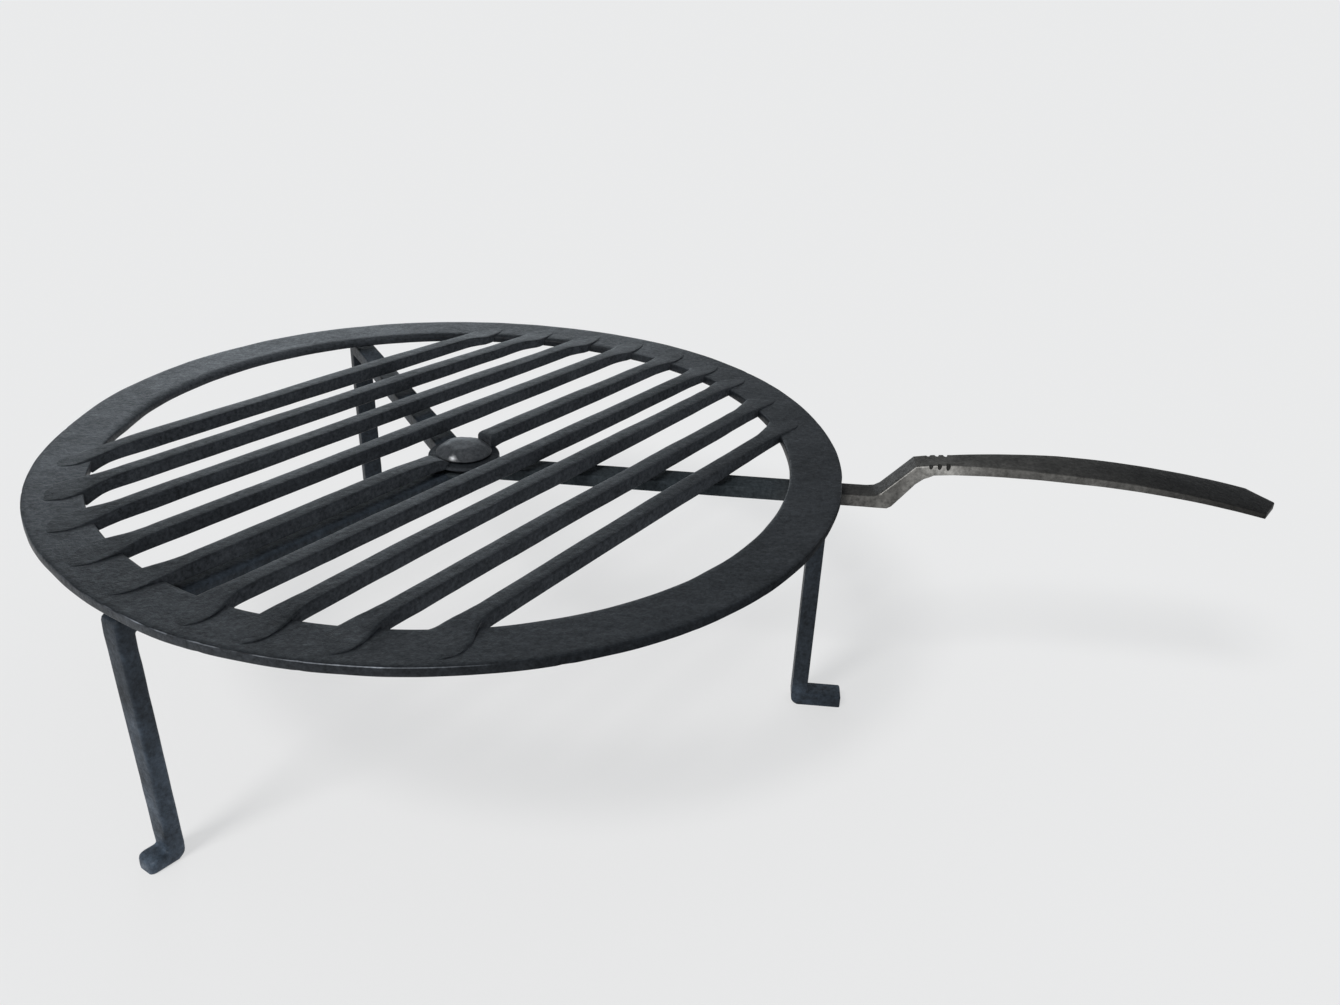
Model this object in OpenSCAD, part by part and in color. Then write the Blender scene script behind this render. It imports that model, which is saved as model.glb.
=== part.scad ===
// Revolving hearth broiler: a round bar grid that turns on a three-legged frame with one long handle.
// Origin: floor level, under the middle of the overall length, +X along the handle, +Z up, millimetres.

/* [Grid ring] */
// Height of the ring's top face above the floor
ring_top = 115; // [95:1:140]
// Outer diameter of the flat ring
ring_d = 330; // [300:1:360]
// Width of the flat ring band
ring_w = 22; // [16:0.5:28]
// Thickness of the ring band
ring_t = 4; // [3:0.1:5]
// Offset of the hand-set ring from the turning axis, along the handle
ring_off = -4.4; // [-6:0.2:6]

/* [Grid bars] */
// Width of each straight bar
bar_w = 7.4; // [5:0.1:9]
// Depth of each straight bar
bar_h = 5.9; // [5:0.1:7]
// How far the bar tops stand above the ring's top face
bar_proud = 2; // [1:0.1:3]
// Width of the flattened bar ends welded over the ring
lap_w = 12; // [9:0.5:16]
// Bare margin of ring left outside each flattened end
lap_margin = 6; // [3:0.5:9]
// Length over which a bar spreads to its flattened end
lap_spread = 12; // [6:0.5:20]
// Direction of the bars, turned from the handle
bar_angle = 57.5; // [0:0.5:180]
// Turn added from each bar to the next, bars forged by eye
bar_fan = 0.5; // [0:0.1:0.8]
// Distance of bar 1 from the turning axis, farthest from the front leg
bar_1_place = 99.5; // [96:0.5:106]
// Distance of bar 2 from the turning axis
bar_2_place = 76.5; // [72:0.5:80]
// Distance of bar 3 from the turning axis
bar_3_place = 52; // [48:0.5:55]
// Distance of bar 4 from the turning axis
bar_4_place = 26.5; // [24:0.5:30]
// Distance of bar 6 from the turning axis, on the other side
bar_6_place = 24.5; // [24:0.5:28]
// Distance of bar 7 from the turning axis
bar_7_place = 45.5; // [43:0.5:50]
// Distance of bar 8 from the turning axis
bar_8_place = 71; // [67:0.5:76]
// Distance of bar 9 from the turning axis
bar_9_place = 94.5; // [90:0.5:102]

/* [Pivot] */
// Diameter of the flattened eye in the middle bar
eye_d = 30; // [28:0.5:34]
// Thickness of the flattened eye
eye_t = 2.2; // [2:0.1:4]
// How far the eye's underside is set down below the bars
eye_drop = 1.1; // [0.5:0.1:1.5]
// Reach of the eye's tabs under the bar, from the pivot
tab_reach = 20; // [18:0.5:26]
// Width of the eye's tabs
tab_w = 6; // [4:0.1:7]
// Diameter of the pivot rivet's shank
shank_d = 10; // [7:0.5:13]
// Diameter of the rivet's domed head
head_d = 23; // [20:0.5:27]
// Height of the straight rim under the dome
head_rim = 1.6; // [0.5:0.1:2]
// Height of the dome above its rim
head_dome = 3.5; // [2:0.1:5]
// Clearance round the head where the middle bar is cut away
head_gap = 0.4; // [0.3:0.05:0.8]
// Diameter of the hammered tail under the hub
tail_d = 17; // [15:0.5:22]
// Height of the hammered tail
tail_h = 2; // [1:0.1:3]
// Diameter of the washer between grid and hub
washer_d = 25; // [20:0.5:28]
// Thickness of the washer
washer_t = 1; // [0.6:0.1:3]
// Up-and-down play of the grid on the pivot, above and below the eye
turn_play = 0.3; // [0.3:0.05:0.6]
// Running clearance round the shank in the eye
turn_fit = 0.05; // [0.02:0.01:0.09]
// Clearance round the shank in the washer
washer_fit = 0.1; // [0.05:0.01:0.3]

/* [Handle] */
// Diameter of the round hub that carries the pivot
hub_d = 32; // [29:0.5:38]
// Width of the handle arm under the grid
arm_w = 11.5; // [9:0.5:14]
// Thickness of the handle arm
arm_t = 5.4; // [4:0.1:7]
// Distance from the ring's edge to the foot of the crank
crank_gap = 9.5; // [6:0.5:18]
// Length of the crank along the handle
crank_run = 14.7; // [10:0.1:20]
// Height the crank lifts the grip above the arm
crank_rise = 14.8; // [10:0.2:18]
// How far the underside of the crank lags behind its top
crank_lag = 6.3; // [3:0.1:8]
// Share of that lag left where the underside meets the neck
lag_share = 0.8; // [0.5:0.05:0.95]
// Length of the neck between the crank and the grip
neck_run = 7.8; // [5:0.1:9]
// Rise of the neck's top from the crank to the grip
neck_lift = 1.2; // [0.6:0.1:2]
// Drop of the neck's underside from the grip to the crank
neck_drop = 0.4; // [0.2:0.1:1]
// Length of the grip from the neck to its corners
grip_len = 134.5; // [100:0.5:160]
// Length of the blunt point past the corners
grip_point = 9; // [6:0.5:16]
// Side shift of the blunt point, toward the back leg
point_shift = 5.5; // [0:0.5:7]
// Width of the blunt point
point_w = 1.6; // [1:0.1:4]
// Distance along the grip to the top of its arch
arch_run = 40; // [30:1:50]
// Radius of the grip's arch
arch_r = 440; // [380:5:560]
// Thickness of the grip at the top of its arch
grip_t = 4.1; // [3.4:0.1:5]
// Forward shift of the underside, thins the grip toward its end
grip_thin = 6; // [0:0.5:8]
// Distance along the grip where the flare begins
flare_start = 8; // [4:0.5:16]
// Distance along the grip where the flare eases
flare_run = 52; // [30:1:70]
// Width of the grip where the flare eases
flare_w = 19.8; // [15:0.2:21]
// Width of the grip at its corners
grip_w = 25; // [21:0.2:28]
// Sideways set of the grip at its corners, toward the back leg
grip_set = 2.5; // [0:0.1:4]
// Number of filed notches across each upper edge
notch_count = 3; // [1:1:4]
// Spacing of the filed notches
notch_pitch = 3.5; // [2.8:0.1:4]
// Distance of the first notch from the top of the crank
notch_start = 6.1; // [4:0.1:9]
// Diameter of the filed notches
notch_d = 2.4; // [1:0.1:2.6]

/* [Legs] */
// Turn of the two other legs away from the handle
leg_angle = 122; // [110:0.5:130]
// Inset of the handle leg's middle from the ring's edge
handle_leg_inset = 12.5; // [8:0.5:18]
// Inset of the back leg's middle from the ring's edge, at its bend
back_leg_inset = 1.5; // [1:0.5:18]
// Inset of the front leg's middle from the ring's edge, at its bend
front_leg_inset = 3.5; // [3:0.5:18]
// Inward lean of the back leg from its bend to its foot
back_leg_lean = 11; // [0:0.5:14]
// Inward lean of the front leg from its bend to its foot
front_leg_lean = 5.5; // [0:0.5:9]
// Thickness of the leg bars
leg_t = 7; // [5:0.1:8]
// Width of the leg bars
leg_w = 9.3; // [7:0.1:11]
// Width of the leg arms at the hub
leg_arm_w = 11.5; // [9:0.5:14]
// Inside radius of the bend from arm to leg
bend_r = 1; // [0.5:0.5:12]
// Length of the handle leg's turned-out foot past the leg
handle_foot = 15.5; // [8:0.5:22]
// Length of the back leg's turned-out foot past the leg
back_foot = 12; // [8:0.5:22]
// Length of the front leg's turned-out foot past the leg
front_foot = 9; // [8:0.5:22]
// Height of the foot
foot_h = 6; // [5:0.1:8]
// Radius of the heel
heel_r = 3.5; // [2:0.1:4.5]
// Diameter of the handle leg's tenon through the arm
tenon_d = 6; // [4:0.5:6.5]

/* [Hidden] */
ring_r = ring_d / 2;
ring_in = ring_r - ring_w;
lap_reach = ring_r - lap_margin - lap_w / 2;
bar_top = ring_top + bar_proud;
bar_low = bar_top - bar_h;
eye_low = bar_low - eye_drop;
eye_top = eye_low + eye_t;
head_low = eye_top + turn_play;
dome_r = (head_d * head_d / 4 + head_dome * head_dome) / (2 * head_dome);
arm_top = eye_low - turn_play - washer_t;
arm_low = arm_top - arm_t;
washer_hole = shank_d + 2 * washer_fit;
crank_x = ring_r + crank_gap;
neck_x = crank_x + crank_run;
grip_x = neck_x + neck_run;
grip_end = grip_x + grip_len;
neck_top = arm_top + crank_rise;
arch_x = grip_x + arch_run;
arch_sag = arch_r - sqrt(arch_r * arch_r - arch_run * arch_run);
grip_top = neck_top + neck_lift;
arch_top = grip_top + arch_sag;
arch_z = arch_top - arch_r;
under_r = arch_r - grip_t;
under_run = arch_run + grip_thin;
grip_low = arch_z + sqrt(under_r * under_r - under_run * under_run);
neck_low = grip_low - neck_drop;
neck_lag = crank_lag * lag_share;
flare_set = grip_set * flare_run / grip_len;
notch_x = neck_x + notch_start;
grip_room = 50;
file_len = 12;
handle_leg_x = ring_r - handle_leg_inset;
back_leg_x = ring_r - back_leg_inset;
front_leg_x = ring_r - front_leg_inset;
mid_x = (grip_end + grip_point + ring_off - ring_r) / 2;
cut = 1;
smooth = 96;

// Moves a piece drawn about the turning axis to its place on the floor
module placed() {
    translate([-mid_x, 0, 0])
    children();
}

// Flat forged ring that carries the bars
module grid_ring() {
    color([0.22, 0.24, 0.26])
    placed()
    translate([ring_off, 0, ring_top - ring_t])
    difference() {
        cylinder(r = ring_r, h = ring_t, $fn = smooth);
        translate([0, 0, -cut])
        cylinder(r = ring_in, h = ring_t + 2 * cut, $fn = smooth);
    }
}

// Outline of one flattened end, from the spread of the bar to its round tip
module lap_plan(from, to) {
    polygon([
        [from - lap_spread, -bar_w / 2],
        [from, -lap_w / 2],
        [to, -lap_w / 2],
        [to, lap_w / 2],
        [from, lap_w / 2],
        [from - lap_spread, bar_w / 2]]);
    translate([to, 0])
    circle(d = lap_w, $fn = 48);
}

// One straight bar with both ends lapped over the ring, place measured across the bars
module bar(place, step) {
    turn = bar_angle + bar_fan * step;
    along = ring_off * cos(turn);
    across = place + ring_off * sin(turn);
    edge = sqrt(ring_in * ring_in - across * across);
    tip = sqrt(lap_reach * lap_reach - across * across);
    rotate([0, 0, turn])
    translate([along, place, 0])
    union() {
        intersection() {
            translate([-ring_in, -bar_w / 2, bar_low])
            cube([2 * ring_in, bar_w, bar_h]);
            translate([0, -across, bar_low - cut])
            cylinder(r = ring_in, h = bar_h + 2 * cut, $fn = smooth);
        }
        for (side = [0, 1]) {
            mirror([side, 0, 0])
            translate([0, 0, ring_top])
            linear_extrude(bar_proud)
            lap_plan(edge, tip);
        }
    }
}

module bar_color() {
    color([0.26, 0.28, 0.30])
    placed()
    children();
}

module grid_bar_1() {
    bar_color()
    bar(bar_1_place, -4);
}

module grid_bar_2() {
    bar_color()
    bar(bar_2_place, -3);
}

module grid_bar_3() {
    bar_color()
    bar(bar_3_place, -2);
}

module grid_bar_4() {
    bar_color()
    bar(bar_4_place, -1);
}

// Middle bar with its lower eye that turns on the pivot, its top cut away round the rivet's head
module grid_bar_5() {
    bar_color()
    difference() {
        union() {
            bar(0, 0);
            translate([0, 0, eye_low])
            cylinder(d = eye_d, h = eye_t, $fn = smooth);
            rotate([0, 0, bar_angle])
            translate([-tab_reach, -tab_w / 2, eye_low])
            cube([2 * tab_reach, tab_w, eye_t]);
        }
        translate([0, 0, eye_top])
        cylinder(d = head_d + 2 * head_gap, h = bar_h + cut, $fn = smooth);
        translate([0, 0, eye_low - cut])
        cylinder(d = shank_d + 2 * turn_fit, h = eye_drop + bar_h + 2 * cut, $fn = smooth);
    }
}

module grid_bar_6() {
    bar_color()
    bar(-bar_6_place, 1);
}

module grid_bar_7() {
    bar_color()
    bar(-bar_7_place, 2);
}

module grid_bar_8() {
    bar_color()
    bar(-bar_8_place, 3);
}

module grid_bar_9() {
    bar_color()
    bar(-bar_9_place, 4);
}

// Pivot rivet: hammered tail, shank and domed head in one
module pivot_rivet() {
    color([0.30, 0.31, 0.33])
    placed()
    union() {
        translate([0, 0, arm_low - tail_h])
        cylinder(d = tail_d, h = tail_h, $fn = smooth);
        translate([0, 0, arm_low - tail_h])
        cylinder(d = shank_d, h = head_low - arm_low + tail_h + head_rim, $fn = smooth);
        translate([0, 0, head_low])
        cylinder(d = head_d, h = head_rim, $fn = smooth);
        translate([0, 0, head_low + head_rim])
        rotate_extrude($fn = smooth)
        intersection() {
            translate([0, head_dome - dome_r])
            circle(r = dome_r, $fn = 180);
            square([head_d / 2, head_dome]);
        }
    }
}

// Washer that keeps the grid clear of the frame
module pivot_washer() {
    color([0.20, 0.21, 0.23])
    placed()
    translate([0, 0, arm_top])
    difference() {
        cylinder(d = washer_d, h = washer_t, $fn = smooth);
        translate([0, 0, -cut])
        cylinder(d = washer_hole, h = washer_t + 2 * cut, $fn = smooth);
    }
}

// Side view of the arm, the crank and the neck
module arm_side() {
    polygon([
        [0, arm_low],
        [crank_x + crank_lag, arm_low],
        [neck_x + neck_lag, neck_low],
        [grip_x, grip_low],
        [grip_x, grip_top],
        [neck_x, neck_top],
        [crank_x, arm_top],
        [0, arm_top]]);
}

// Side view of the arched grip, thinner toward its end
module grip_side() {
    intersection() {
        difference() {
            translate([arch_x, arch_z])
            circle(r = arch_r, $fn = 720);
            translate([arch_x + grip_thin, arch_z])
            circle(r = under_r, $fn = 720);
        }
        translate([grip_x, arch_top - grip_room])
        square([grip_len + grip_point, grip_room + cut]);
    }
}

// Plan of the flaring grip with its blunt point
module grip_plan() {
    polygon([
        [grip_x, -arm_w / 2],
        [grip_x + flare_start, -arm_w / 2],
        [grip_x + flare_run, flare_set - flare_w / 2],
        [grip_end, grip_set - grip_w / 2],
        [grip_end + grip_point, point_shift - point_w / 2],
        [grip_end + grip_point, point_shift + point_w / 2],
        [grip_end, grip_set + grip_w / 2],
        [grip_x + flare_run, flare_set + flare_w / 2],
        [grip_x + flare_start, arm_w / 2],
        [grip_x, arm_w / 2]]);
}

// Hub, arm, crank and grip forged from one bar
module handle() {
    color([0.34, 0.34, 0.34])
    placed()
    difference() {
        union() {
            translate([0, 0, arm_low])
            cylinder(d = hub_d, h = arm_t, $fn = smooth);
            rotate([90, 0, 0])
            translate([0, 0, -arm_w / 2])
            linear_extrude(arm_w)
            arm_side();
            intersection() {
                rotate([90, 0, 0])
                translate([0, 0, -grip_w])
                linear_extrude(2 * grip_w)
                grip_side();
                translate([0, 0, arch_top - grip_room])
                linear_extrude(grip_room + cut)
                grip_plan();
            }
        }
        translate([0, 0, arm_low - cut])
        cylinder(d = shank_d, h = arm_t + 2 * cut, $fn = smooth);
        translate([handle_leg_x, 0, arm_low - cut])
        cylinder(d = tenon_d, h = arm_t + 2 * cut, $fn = 48);
        for (side = [-1, 1]) {
            for (step = [0 : notch_count - 1]) {
                translate([notch_x + step * notch_pitch, side * arm_w / 2, grip_top])
                rotate([side * 45, 0, 0])
                translate([0, 0, -file_len / 2])
                cylinder(d = notch_d, h = file_len, $fn = 24);
            }
        }
    }
}

// Side view of a turned-out foot with its round heel, inner face of the leg at x = 0
module foot_side(length) {
    translate([heel_r, heel_r])
    circle(r = heel_r, $fn = 48);
    translate([heel_r, 0])
    square([leg_t - heel_r + length, foot_h]);
    translate([0, heel_r])
    square([leg_t, foot_h - heel_r]);
}

// Straight leg under the handle, tenoned through the arm
module handle_leg() {
    color([0.18, 0.19, 0.21])
    placed()
    union() {
        translate([handle_leg_x - leg_t / 2, leg_w / 2, 0])
        rotate([90, 0, 0])
        linear_extrude(leg_w)
        union() {
            foot_side(handle_foot);
            translate([0, foot_h])
            square([leg_t, arm_low - foot_h]);
        }
        translate([handle_leg_x, 0, arm_low - cut])
        cylinder(d = tenon_d, h = arm_t + cut, $fn = 48);
    }
}

// Side view of the bend, the leaning leg and the foot
module bent_side(reach, lean, length) {
    outer = bend_r + leg_t;
    top_x = reach - leg_t / 2;
    turn_z = arm_top - outer;
    foot_x = top_x - lean;
    translate([top_x - bend_r, turn_z])
    intersection() {
        difference() {
            circle(r = outer, $fn = smooth);
            circle(r = bend_r, $fn = smooth);
        }
        square([outer + cut, outer + cut]);
    }
    polygon([
        [top_x, turn_z],
        [foot_x, foot_h],
        [foot_x + leg_t, foot_h],
        [top_x + leg_t, turn_z]]);
    translate([foot_x, 0])
    foot_side(length);
}

// Arm, bend, leg and foot from one bar, welded to the hub
module bent_leg(reach, lean, length) {
    difference() {
        union() {
            translate([0, leg_w / 2, 0])
            rotate([90, 0, 0])
            linear_extrude(leg_w)
            bent_side(reach, lean, length);
            translate([0, 0, arm_top - leg_t])
            linear_extrude(leg_t)
            polygon([
                [0, -leg_arm_w / 2],
                [reach - leg_t / 2 - bend_r, -leg_w / 2],
                [reach - leg_t / 2 - bend_r, leg_w / 2],
                [0, leg_arm_w / 2]]);
        }
        translate([0, 0, arm_top - leg_t - cut])
        cylinder(d = hub_d, h = leg_t + 2 * cut, $fn = smooth);
    }
}

module back_leg() {
    color([0.20, 0.21, 0.23])
    placed()
    rotate([0, 0, leg_angle])
    bent_leg(back_leg_x, back_leg_lean, back_foot);
}

module front_leg() {
    color([0.20, 0.21, 0.23])
    placed()
    rotate([0, 0, -leg_angle])
    bent_leg(front_leg_x, front_leg_lean, front_foot);
}

grid_ring();
grid_bar_1();
grid_bar_2();
grid_bar_3();
grid_bar_4();
grid_bar_5();
grid_bar_6();
grid_bar_7();
grid_bar_8();
grid_bar_9();
pivot_rivet();
pivot_washer();
handle();
handle_leg();
back_leg();
front_leg();
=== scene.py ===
# %% [markdown]
# # A turning hearth broiler in black iron
# The real thing is a round grid of nine bars on a flat ring, which turns on a rivet above a frame
# of three legs and one long handle. Each piece below is made the way a smith would think of it:
# drawn out, bent, spread or turned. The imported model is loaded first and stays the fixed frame.

# %% Load the frame
import math
from collections import namedtuple

import bmesh
import bpy
from mathutils import Matrix, Vector, noise


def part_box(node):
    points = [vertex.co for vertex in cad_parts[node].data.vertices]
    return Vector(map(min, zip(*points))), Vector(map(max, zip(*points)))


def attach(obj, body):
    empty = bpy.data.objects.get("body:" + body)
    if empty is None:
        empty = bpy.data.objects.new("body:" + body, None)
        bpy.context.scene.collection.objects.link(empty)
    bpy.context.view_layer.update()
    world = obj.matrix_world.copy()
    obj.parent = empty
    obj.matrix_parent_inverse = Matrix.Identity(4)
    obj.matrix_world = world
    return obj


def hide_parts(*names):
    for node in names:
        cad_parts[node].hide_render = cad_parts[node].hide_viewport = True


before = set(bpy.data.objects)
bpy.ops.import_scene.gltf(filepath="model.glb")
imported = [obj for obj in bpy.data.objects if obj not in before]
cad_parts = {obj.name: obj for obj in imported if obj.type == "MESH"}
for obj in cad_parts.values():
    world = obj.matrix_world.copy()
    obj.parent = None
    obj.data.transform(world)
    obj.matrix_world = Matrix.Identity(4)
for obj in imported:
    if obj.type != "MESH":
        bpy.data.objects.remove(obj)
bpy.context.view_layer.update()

# %% [markdown]
# ## A bench to work on
# Smiths measure from one mark. Here the mark is the floor under the turning axis, and all shapes
# are drawn in millimetres from it. One matrix then carries a finished mesh to its place in metres,
# so the objects themselves stay at the origin.

# %% The bench matrix
MILLIMETRE = 0.001
UP = Vector((0, 0, 1))
rivet_low, rivet_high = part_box("pivot_rivet")
axis_x = (rivet_low.x + rivet_high.x) / 2
bench = Matrix.Translation((axis_x, 0, 0)) @ Matrix.Scale(MILLIMETRE, 4)
print("turning axis at x", round(axis_x, 5))

# %% [markdown]
# ## Drawing out a bar
# Nearly every piece began as a bar. A bar could be swept along a curve object, but then its width
# cannot change freely. Extruding one end face from section to section, and moving each new end with
# a matrix, is closer to the forge: every section has its own place, width and depth. The corners of
# the end face are rounded first, at their real size, and its wide sides are divided for hammer
# marks.

# %% The end of a bar
def end_face(bm, width, depth, corner, cuts):
    """Unit end face of a bar of this width and depth, with real corners of a given size."""
    made = bmesh.ops.create_grid(bm, x_segments=1, y_segments=1, size=0.5)["verts"]
    bmesh.ops.scale(bm, vec=(width, depth, 1), verts=made)
    bmesh.ops.bevel(bm, geom=made, offset=corner, offset_type="OFFSET", segments=3,
                    profile=0.5, affect="VERTICES", material=-1)
    bmesh.ops.delete(bm, geom=bm.faces[:], context="FACES_ONLY")
    wide = [e for e in bm.edges if e.calc_length() > width / 2]
    bmesh.ops.subdivide_edges(bm, edges=wide, cuts=cuts)
    bmesh.ops.scale(bm, vec=(1 / width, 1 / depth, 1), verts=bm.verts)
    return bmesh.ops.contextual_create(bm, geom=bm.edges)["faces"][0]


def section(point, along, across, width, depth):
    """Matrix that carries the unit end face to one cross-section of a bar."""
    over = along.cross(across)
    made = Matrix((across * width, over * depth, along)).transposed().to_4x4()
    made.translation = point
    return made


# %% Drawing it out
def draw_out(sections, width, depth, corner, cuts=2):
    """Draws one closed bar through all its sections; the sizes are those of its plain part."""
    bm = bmesh.new()
    start = face = end_face(bm, width, depth, corner, cuts)
    last = sections[0]
    bmesh.ops.transform(bm, matrix=last, verts=face.verts)
    for here in sections[1:]:
        grown = bmesh.ops.extrude_face_region(bm, geom=[face])["geom"]
        if face != start:  # the old end would stay inside the bar
            bmesh.ops.delete(bm, geom=[face], context="FACES_ONLY")
        face = [g for g in grown if isinstance(g, bmesh.types.BMFace)][0]
        bmesh.ops.transform(bm, matrix=here @ last.inverted(), verts=face.verts)
        last = here
    bmesh.ops.recalc_face_normals(bm, faces=bm.faces)
    return bm


# %% [markdown]
# ## Measured rows
# Many sizes change along a piece. Each is kept as a row of measured points. Where the iron was cut
# or bent sharply the points are joined by straight lines, and where it flows they are joined by a
# smooth curve through all of them.

# %% Straight and smooth rows
def clamped(value):
    """The value, kept between 0 and 1."""
    return min(max(value, 0), 1)


def straight(row, x):
    """Value at x on a row of (x, value) points joined by straight lines."""
    for (xa, a), (xb, b) in zip(row, row[1:]):
        if x <= xb:
            return a + (b - a) * (x - xa) / (xb - xa)
    return row[-1][1]


def slope(row, i):
    """Slope of a row at one of its points, taken from the points beside it."""
    low, high = row[max(i - 1, 0)], row[min(i + 1, len(row) - 1)]
    return (high[1] - low[1]) / (high[0] - low[0])


def flow(row, x):
    """Value at x on a smooth curve through a row of (x, value) points."""
    i = max(0, min(len(row) - 2, sum(x >= p[0] for p in row) - 1))
    (xa, a), (xb, b) = row[i], row[i + 1]
    lean_a, lean_b = slope(row, i) * (xb - xa), slope(row, i + 1) * (xb - xa)
    t = clamped((x - xa) / (xb - xa))
    return (a * (1 + 2 * t) * (1 - t) ** 2 + b * t * t * (3 - 2 * t)
            + lean_a * t * (1 - t) ** 2 - lean_b * t * t * (1 - t))


# %% [markdown]
# ## Hammer marks, wear and painted light
# Forged faces are never quite flat. A displacement texture could do it, but the marks belong in the
# mesh, so each point is pushed a little along its normal by smooth noise, which is the same on
# every run. Wear is a number from 0 to 1 on each face corner, in an attribute that the finish reads
# later. A second attribute marks where the rough crust of forge scale is left.
# On some pieces the same number also holds painted light and painted highlights.

# %% Hammer, wear and painted light
def uneven(point, pitch, height):
    """Smooth noise up to a height, with waves of a given pitch."""
    return height * noise.noise(point / pitch)


def hammer(bm, depth, pitch, mark):
    """Pushes points inwards by up to the given depth; each mark takes the noise from another place."""
    bm.normal_update()
    offset = Vector((mark, 0, 0))
    pushes = [(noise.noise(v.co / pitch + offset) - 1) / 2 * depth for v in bm.verts]
    for v, push in zip(bm.verts, pushes):
        v.co += v.normal * push


def wear(bm, rule, layer="wear_and_painted_light"):
    """Marks each face corner's wear and painted light, or how far it keeps its crust."""
    bm.normal_update()
    mark = bm.loops.layers.float.new(layer)
    for f in bm.faces:
        for corner in f.loops:
            corner[mark] = clamped(rule(corner.vert.co, f.normal))


# %% Set a piece
def set_piece(bm, name, body, nodes, finish, crease=35):
    """Carries a mesh from the bench to its place and makes it a piece of the object."""
    bmesh.ops.transform(bm, matrix=bench, verts=bm.verts)
    bmesh.ops.recalc_face_normals(bm, faces=bm.faces)
    gaps = sum(not e.is_manifold for e in bm.edges)
    mesh = bpy.data.meshes.new(name)
    bm.to_mesh(mesh)
    bm.free()
    mesh.shade_smooth()
    mesh.set_sharp_from_angle(angle=math.radians(crease))
    mesh.materials.append(finish)
    piece = bpy.data.objects.new(name, mesh)
    bpy.context.collection.objects.link(piece)
    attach(piece, body)
    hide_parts(*nodes)
    print(name, len(mesh.polygons), "faces", gaps, "open edges")


# %% [markdown]
# ## Black iron
# The skin of the iron is forge scale rubbed with oil: nearly black, a little blue, dull, with fine
# grain and broad cloudy patches. Its colour is almost too dark to see, and what the eye reads is
# the faint shine that grows at a low angle, so the shine is set low and the roughness does the
# rest. Edges that are handled wear to a lighter grey, and sides that kept their crust are rougher
# still. A painted picture could hold all this, but noises on Object coordinates need no unwrapping
# and stay sharp.
# The same lighter grey also stands in for light: painted sheen, painted highlights, lighter painted
# sides.

# %% Small node helpers
def cloud(tree, place, scale, detail, roughness):
    made = tree.nodes.new("ShaderNodeTexNoise")
    made.inputs["Scale"].default_value = scale
    made.inputs["Detail"].default_value = detail
    made.inputs["Roughness"].default_value = roughness
    tree.links.new(place.outputs["Object"], made.inputs["Vector"])
    return made.outputs["Fac"]


def marked(tree, layer):
    """Reads a mark from the mesh; a mesh without that mark gives 0."""
    made = tree.nodes.new("ShaderNodeAttribute")
    made.attribute_name = layer
    return made.outputs["Fac"]


def sums(tree, how, first, second, third=None):
    """One Math node; each input is a number or another node's output."""
    made = tree.nodes.new("ShaderNodeMath")
    made.operation = how
    for socket, value in zip(made.inputs, (first, second, third)):
        if isinstance(value, bpy.types.NodeSocket):
            tree.links.new(value, socket)
        elif value is not None:
            socket.default_value = value
    return made.outputs[0]


def ranged(tree, value, low, high, to_low=0.0, to_high=1.0):
    made = tree.nodes.new("ShaderNodeMapRange")
    limits = {"From Min": low, "From Max": high, "To Min": to_low, "To Max": to_high}
    for name, number in limits.items():
        made.inputs[name].default_value = number
    tree.links.new(value, made.inputs["Value"])
    return made.outputs[0]


# %% Colour and bump helpers
def blended(tree, factor, first, second):
    """One colour Mix node; each colour is a triple or another node's output."""
    made = tree.nodes.new("ShaderNodeMix")
    made.data_type = "RGBA"
    tree.links.new(factor, made.inputs["Factor"])
    for name, value in (("A", first), ("B", second)):
        if isinstance(value, bpy.types.NodeSocket):
            tree.links.new(value, made.inputs[name])
        else:
            made.inputs[name].default_value = (*value, 1)
    return made.outputs["Result"]


def bumped(tree, height, strength, distance, below=None):
    made = tree.nodes.new("ShaderNodeBump")
    made.inputs["Strength"].default_value = strength
    made.inputs["Distance"].default_value = distance
    tree.links.new(height, made.inputs["Height"])
    if below:
        tree.links.new(below, made.inputs["Normal"])
    return made.outputs["Normal"]


# %% The colour of the iron
# Stretch of the handle, in metres, over which the blue skin under the grid gives way to handled iron
SHADED_STOP, HANDLED_START = axis_x + 0.132, axis_x + 0.156


def iron_colour(tree, place, tone, tones, shaded):
    """A dark and a pale tone by the grain; shaded is such a pair for a stretch no hand reaches."""
    colour = blended(tree, tone, *tones)
    if shaded:
        apart = tree.nodes.new("ShaderNodeSeparateXYZ")
        tree.links.new(place.outputs["Object"], apart.inputs["Vector"])
        handled = ranged(tree, apart.outputs["X"], SHADED_STOP, HANDLED_START)
        colour = blended(tree, handled, blended(tree, tone, *shaded), colour)
    return colour


# %% The iron finish
PATCH_SHARE, DARKEST, PALEST = 0.35, 0.48, 0.87
RUB_ON_DARK, RUB_ON_PALE = 0.45, 1.35
ROUGH_SPREAD, RUB_SMOOTHS, CRUST_ROUGHENS = 0.07, 0.14, 0.5
BUMP, DENT_DEPTH, GRAIN_DEPTH = 0.6, 0.0006, 0.00026


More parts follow.
